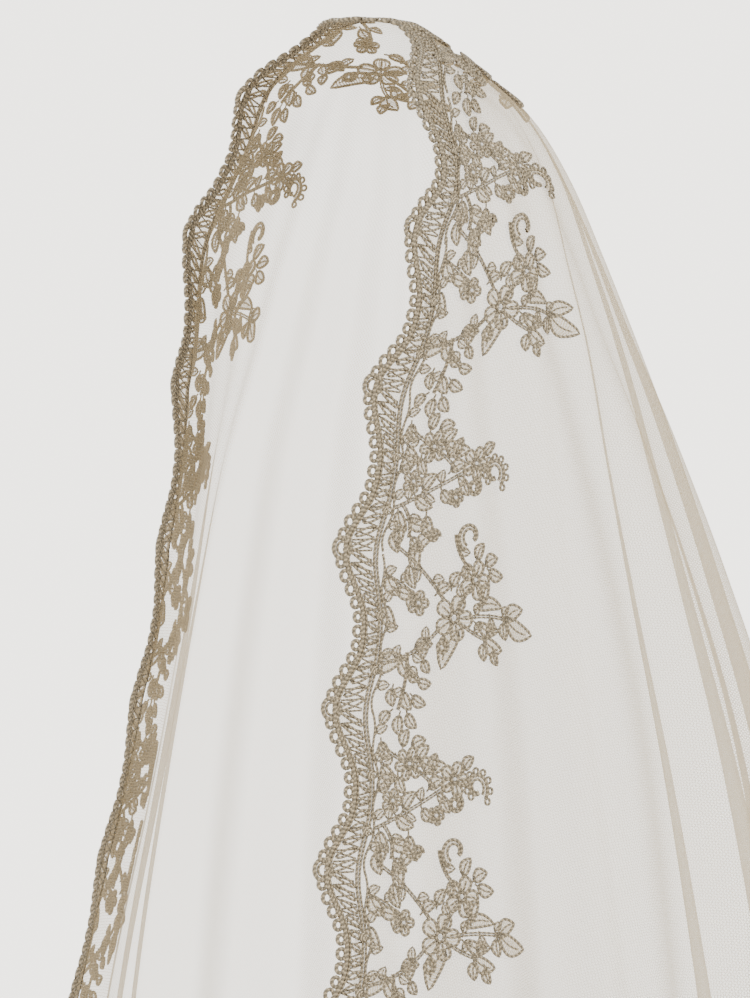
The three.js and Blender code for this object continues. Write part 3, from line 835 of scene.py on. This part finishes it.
class VEIL_OT_net(bpy.types.Operator):
    """Makes the sheer net from its flat cut"""

    bl_idname = "veil.net"
    bl_label = "Sheer net"

    def execute(self, context):
        sizes, colours = settings()
        cloth = Cloth(sizes)
        columns, rows = ((420, 120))
        outline = cloth.outline()
        hung = cloth.on_net(outline[:, 0], outline[:, 1])
        run = np.concatenate([[0], np.cumsum(np.linalg.norm(np.diff(hung, axis=0), axis=1))])
        wanted = np.linspace(0, run[-1], columns + 1)
        hem = np.stack([np.interp(wanted, run, outline[:, k]) for k in (0, 1)], axis=-1)
        share = np.linspace(0.003, 1, rows + 1) ** 0.9
        x, y = hem[None, :, 0] * share[:, None], hem[None, :, 1] * share[:, None]
        points = cloth.on_net(x, y).reshape(-1, 3)
        places = np.stack([x, y], axis=-1).reshape(-1, 2) / MM
        threads = Threads()
        threads.patch(points, columns + 1, places, 0)
        net = threads.build("sheer_net", [net_material(colours)], nodes=("net_veil",))
        return {"FINISHED"}


class VEIL_OT_edging(bpy.types.Operator):
    """Makes the corded scalloped edging, its front stretch and its hem"""

    bl_idname = "veil.edging"
    bl_label = "Scalloped edging"

    def execute(self, context):
        sizes, _ = settings()
        cloth = Cloth(sizes)
        materials = lace_materials()
        front, hem = Threads(), Threads()
        for number in range(sizes.scallop_count):
            peak = number * cloth.pitch
            behind = peak > cloth.front and peak < cloth.total - cloth.front
            self.scallop(cloth, hem if behind else front, peak)
        front.build("edging_front", materials, nodes=("edging_lace",))
        hem.build("edging_hem", materials)
        return {"FINISHED"}

    def scallop(self, cloth, threads, peak):
        sizes, pitch = cloth.sizes, cloth.pitch
        cord = sizes.cord
        fine = 2
        level = sizes.net_thickness / 2 + 0.5 * MM

        def width(offset):
            return sizes.edging_width + sizes.scallop_depth * cloth.scallop_wave(offset)

        def inner(offset):
            return -4.5 * MM + 5.5 * MM * cloth.scallop_wave(offset)

        def draw(offset, out, lift, radius, closed=False, sides=5):
            path, normal = cloth.on_edge(peak + offset, out, lift)
            threads.cord(path, normal, radius, closed=closed, sides=sides)

        across = np.linspace(-pitch / 2, pitch / 2, 24 * fine + 1)
        draw(across, width(across) - 6.2 * MM, level, cord * 1.5)
        draw(across, width(across) - 8.1 * MM, level, cord * 0.9)
        draw(across, inner(across), level, cord)
        draw(across, inner(across) - 1.7 * MM, level, cord * 0.8)

        # Slanted leaves over a wavy thread fill the band between the two outlines
        waves = 14
        weave = np.linspace(-pitch / 2, pitch / 2, waves * 3 * fine + 1)
        low, high = inner(weave) + 0.5 * MM, width(weave) - 8.4 * MM
        turn = 2 * math.pi * waves * weave / pitch
        draw(weave, low + (high - low) / 2 * (1 + np.sin(turn)), level * 0.8, cord * 0.65, sides=4)
        leaf = np.linspace(0, 2 * math.pi, 6 + 3 * fine, endpoint=False)
        for along in (np.arange(12) - 5.5) * pitch / 12:
            low, high = inner(along) + 0.6 * MM, width(along) - 8.6 * MM
            reach = (high - low) / 2
            y = reach * np.cos(leaf)
            x = 1.5 * MM * np.sin(leaf) - 0.5 * np.sign(along) * y
            draw(along + x, (low + high) / 2 + y, level * 1.3, cord * 0.9, closed=True)

        run = np.linspace(-pitch / 2, pitch / 2, 400)
        length = np.concatenate([[0], np.cumsum(np.hypot(np.diff(run), np.diff(width(run) - 2.6 * MM)))])
        rings = 12
        turn = np.linspace(0, 2 * math.pi, 4 + 5 * fine, endpoint=False)
        for i in range(rings):
            middle = np.interp(i / rings * length[-1], length, run)
            if i != rings // 2:
                size = (2.25 + 0.2 * math.sin(5 * i)) * MM
                out = width(middle) - 3.3 * MM
                x, y = 1.2 * size * np.cos(turn), size * np.sin(turn)
                draw(middle + x, out + y, level, cord * 1.5, closed=True)
        turn = np.linspace(0, 2 * math.pi, 10 + 4 * fine, endpoint=False)
        middle = width(0.0) - 4.6 * MM
        draw(5.6 * MM * np.cos(turn), middle + 4.8 * MM * np.sin(turn), level, cord * 1.5, closed=True)
        draw(3.3 * MM * np.cos(turn), middle + 2.7 * MM * np.sin(turn), level, cord, closed=True)

        share = np.linspace(0, 1, 9)
        along = np.repeat(across, len(share))
        out = (inner(across) - 2.6 * MM)[:, None] * (1 - share) + (width(across) - 5.8 * MM)[:, None] * share
        lift = np.full(along.shape, sizes.net_thickness / 2 + 0.2 * MM)
        points, _ = cloth.on_edge(peak + along, out.ravel(), lift)
        places = np.stack([(peak + along) / MM, out.ravel() / MM], axis=-1)
        threads.patch(points, len(share), places, GROUND)


class VEIL_OT_sprays(bpy.types.Operator):
    """Makes the corded floral sprays beside the front edge"""

    bl_idname = "veil.sprays"
    bl_label = "Floral sprays"

    def execute(self, context):
        sizes, _ = settings()
        cloth = Cloth(sizes)
        materials = lace_materials()
        count = sizes.sprays_per_side
        for i in range(-count, count):
            hollow = -i - 1 if i < 0 else i
            threads = Threads()
            chart = SMALL if hollow % 2 else LARGE
            self.spray(cloth, threads, cloth.edge_radius((i + 0.5) * cloth.pitch), chart)
            name = f"{i + count + 1:02d}"
            threads.build("lace_spray_" + name, materials, nodes=("spray_" + name,))
        return {"FINISHED"}

    def spray(self, cloth, threads, centre, chart):
        sizes = cloth.sizes
        scale = sizes.spray_reach / CHART_REACH
        away = -1 if centre < 0 else 1
        cord = sizes.cord
        level = sizes.net_thickness / 2 + 1.2 * MM
        fine = 2

        def across_middle(along):
            return along * scale > abs(centre) - 6 * MM

        def lay(along, inward, lift):
            return cloth.beside(centre - away * along, inward, lift)

        def draw(along, inward, radius, lift=0.0, closed=False, sides=5):
            path, normal = lay(along, inward, np.full(np.shape(along), level + lift))
            threads.cord(path, normal, radius, closed=closed, sides=sides)

        def fill(along, inward, rise, count, run):
            points, _ = lay(along, inward, np.full(np.shape(along), level) + rise)
            threads.patch(points, count, np.stack([run / MM, np.zeros_like(run)], axis=-1), STITCH)

        def leaf(a, d, length, half, heading, ranks, lift=0.0, thread=cord):
            ahead = np.array([math.cos(heading), math.sin(heading)])
            aside = np.array([-ahead[1], ahead[0]])
            bend = 0.12 * length * (1 if heading > RIGHT_ANGLE else -1)

            def at(t, w):
                base = np.multiply.outer(t * length, ahead)
                return [a, d] + base + np.multiply.outer(w + bend * np.sin(math.pi * t), aside)

            t = np.linspace(0, 1, ranks)
            wide = half * np.sin(math.pi * t**0.85) ** 0.75
            loop = np.vstack([at(t, wide), at(t[-2:0:-1], -wide[-2:0:-1])])
            draw(loop[:, 0], loop[:, 1], thread, lift=lift, closed=True)
            vein = at(np.linspace(-2.5 * MM / length, 0.8, 6), np.zeros(6))
            draw(vein[:, 0], vein[:, 1], thread * 0.65, lift=lift + 0.2 * MM, sides=4)
            side = np.linspace(-0.9, 0.9, 4)
            inside = np.vstack([at(np.full(4, tt), ww * side) for tt, ww in zip(t[1:-1], wide[1:-1])])
            rise = lift + 0.3 * MM * (1 - np.tile(side, ranks - 2) ** 2)
            run = np.repeat(t[1:-1] * length, 4) + np.tile(np.abs(side), ranks - 2) * 1.2 * MM
            fill(inside[:, 0], inside[:, 1], rise, 4, run)

        def sprig(path, gap, length, half):
            """Small leaves to both sides of a stem, in turn."""
            run = np.concatenate([[0], np.cumsum(np.linalg.norm(np.diff(path, axis=0), axis=1))])
            heading = unit(np.gradient(path, axis=0))
            for i, place in enumerate(np.arange(gap * 0.7, run[-1] - gap * 0.3, gap)):
                a, d = (np.interp(place, run, path[:, k]) for k in (0, 1))
                along, inward = (np.interp(place, run, heading[:, k]) for k in (0, 1))
                turn = math.atan2(inward, along) + (0.95 if i % 2 else -0.95)
                start = cord * 1.5
                a, d = a + start * math.cos(turn), d + start * math.sin(turn)
                # A leaf that would leave the net is not sewn
                if d + length * math.sin(turn) > 0.5 * MM:
                    leaf(a, d, length, half, turn, 6, 0.3 * MM, cord * 0.75)

        for row in chart["leaves"]:
            if not across_middle(row[0] + row[2]):
                leaf(*(v * scale for v in row[:4]), math.radians(row[4]), 5 + 3 * fine)

        # A vine runs beside the edging from point to point
        along = np.linspace(-0.5, 0.5, 16 * fine + 1) * cloth.pitch
        bow = cloth.scallop_wave(along + cloth.pitch / 2)
        inward = 7.5 * MM - 4 * MM * bow + 1.3 * MM * np.sin(6 * math.pi * along / cloth.pitch)
        draw(along, inward, cord * 0.9)
        sprig(np.stack([along, inward], axis=-1), 7.6 * MM, 7 * MM, 2.3 * MM)

        for row in chart["flowers"]:
            if across_middle(row[0] + row[2]):
                continue
            a, d, radius = (v * scale for v in row[:3])
            petals = row[3]
            wide = 0.34 if petals == 5 else 0.27
            for k in range(petals):
                angle = 2 * math.pi * k / petals + 0.3
                out = np.array([math.cos(angle), math.sin(angle)])
                across = np.array([-out[1], out[0]])
                t = np.linspace(0, 2 * math.pi, 6 + 4 * fine, endpoint=False)
                petal = (
                    np.multiply.outer(radius * (0.62 - 0.4 * np.cos(t)), out)
                    + np.multiply.outer(radius * wide * np.sin(t) * (1 - 0.25 * np.cos(t)), across)
                    + [a, d]
                )
                draw(petal[:, 0], petal[:, 1], cord, closed=True)
                vein = [a, d] + np.multiply.outer(np.linspace(0.3, 0.82, 3) * radius, out)
                draw(vein[:, 0], vein[:, 1], cord * 0.7, lift=0.2 * MM, sides=4)
                side = np.linspace(-0.8, 0.8, 4)
                ranks = np.linspace(0.3, 0.94, 5)
                half = wide * np.sqrt(np.maximum(1 - ((ranks - 0.62) / 0.4) ** 2, 0.05))
                inside = [
                    [a, d] + out * radius * r + np.multiply.outer(side * h * radius, across)
                    for r, h in zip(ranks, half)
                ]
                inside = np.vstack(inside)
                run = np.tile(side * radius * 0.3, len(ranks))
                fill(inside[:, 0], inside[:, 1], np.full(len(inside), 0.2 * MM), len(side), run)
            t = np.linspace(0, 2 * math.pi, 12, endpoint=False)
            draw(a + 0.2 * radius * np.cos(t), d + 0.2 * radius * np.sin(t), cord, lift=0.4 * MM, closed=True)
            middle, normal = lay(np.array([a]), np.array([d]), np.array([level + 0.6 * MM]))
            threads.bead(middle[0], normal[0], 1.1 * MM, PEARL)

        for row in chart["stems"]:
            if across_middle(max(row[0], row[4])):
                continue
            p, q, r = (np.array(row[i : i + 2]) * scale for i in (0, 2, 4))
            t = np.linspace(0, 1, 4 + 8 * fine)[:, None]
            path = p * (1 - t) ** 2 + 2 * q * t * (1 - t) + r * t**2
            heading = unit(np.gradient(path, axis=0))
            aside = np.stack([-heading[:, 1], heading[:, 0]], axis=-1) * cord * 0.8
            for hand in (-1, 1):
                line = path + hand * aside
                draw(line[:, 0], line[:, 1], cord * 0.7)
            sprig(path, 11 * MM, 7 * MM, 2.3 * MM)

        for a, d, radius, first, turns in chart["curls"] + chart["beaded"]:
            if across_middle(a + radius):
                continue
            t = np.linspace(0, 1, 6 + 10 * fine)
            angle = math.radians(first) + 2 * math.pi * turns * t
            size = radius * scale * (1 - 0.6 * t)
            for inset, thick in ((1, 1.2), (0.62, 0.9)):
                x, y = size * inset * np.cos(angle), size * inset * np.sin(angle)
                draw(a * scale + x, d * scale + y, cord * thick)
            across = np.array([1, 0.81, 0.62])
            x, y = (np.multiply.outer(size * f(angle), across).ravel() for f in (np.cos, np.sin))
            run = np.repeat(radius * scale * np.abs(angle - angle[0]), 3)
            fill(a * scale + x, d * scale + y, np.zeros(len(x)), 3, run)

        for a, d, radius, first, turns in chart["beaded"]:
            for share in np.linspace(0, 0.8, 9):
                angle = math.radians(first) + 2 * math.pi * turns * share
                size = radius * scale * (1 - 0.6 * share) + 2 * MM
                t = np.linspace(0, 2 * math.pi, 9, endpoint=False)
                x = a * scale + size * math.cos(angle) + 1.7 * MM * np.cos(t)
                y = d * scale + size * math.sin(angle) + 1.7 * MM * np.sin(t)
                draw(x, y, cord * 0.9, closed=True)


class VEIL_PT_panel(bpy.types.Panel):
    """Sizes, colours and steps of the veil"""

    bl_label = "Mantilla veil"
    bl_idname = "VEIL_PT_panel"
    bl_space_type = "VIEW_3D"
    bl_region_type = "UI"
    bl_category = "Veil"

    def draw(self, context):
        for group in (context.scene.veil_sizes, context.scene.veil_colours):
            for name in group.bl_rna.properties.keys():
                if name not in ("rna_type", "name"):
                    self.layout.prop(group, name)
        for operator in OPERATORS:
            self.layout.operator(operator.bl_idname)


OPERATORS = (VEIL_OT_stage, VEIL_OT_net, VEIL_OT_edging, VEIL_OT_sprays)
CLASSES = (VeilSizes, VeilColours, *OPERATORS, VEIL_PT_panel)


def register():
    for cls in CLASSES:
        bpy.utils.register_class(cls)
    bpy.types.Scene.veil_sizes = bpy.props.PointerProperty(type=VeilSizes)
    bpy.types.Scene.veil_colours = bpy.props.PointerProperty(type=VeilColours)


def unregister():
    del bpy.types.Scene.veil_colours
    del bpy.types.Scene.veil_sizes
    for cls in reversed(CLASSES):
        bpy.utils.unregister_class(cls)


def main():
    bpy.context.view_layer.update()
    register()
    bpy.ops.veil.stage()
    bpy.ops.veil.net()
    bpy.ops.veil.edging()
    bpy.ops.veil.sprays()


if __name__ == "__main__":
    main()
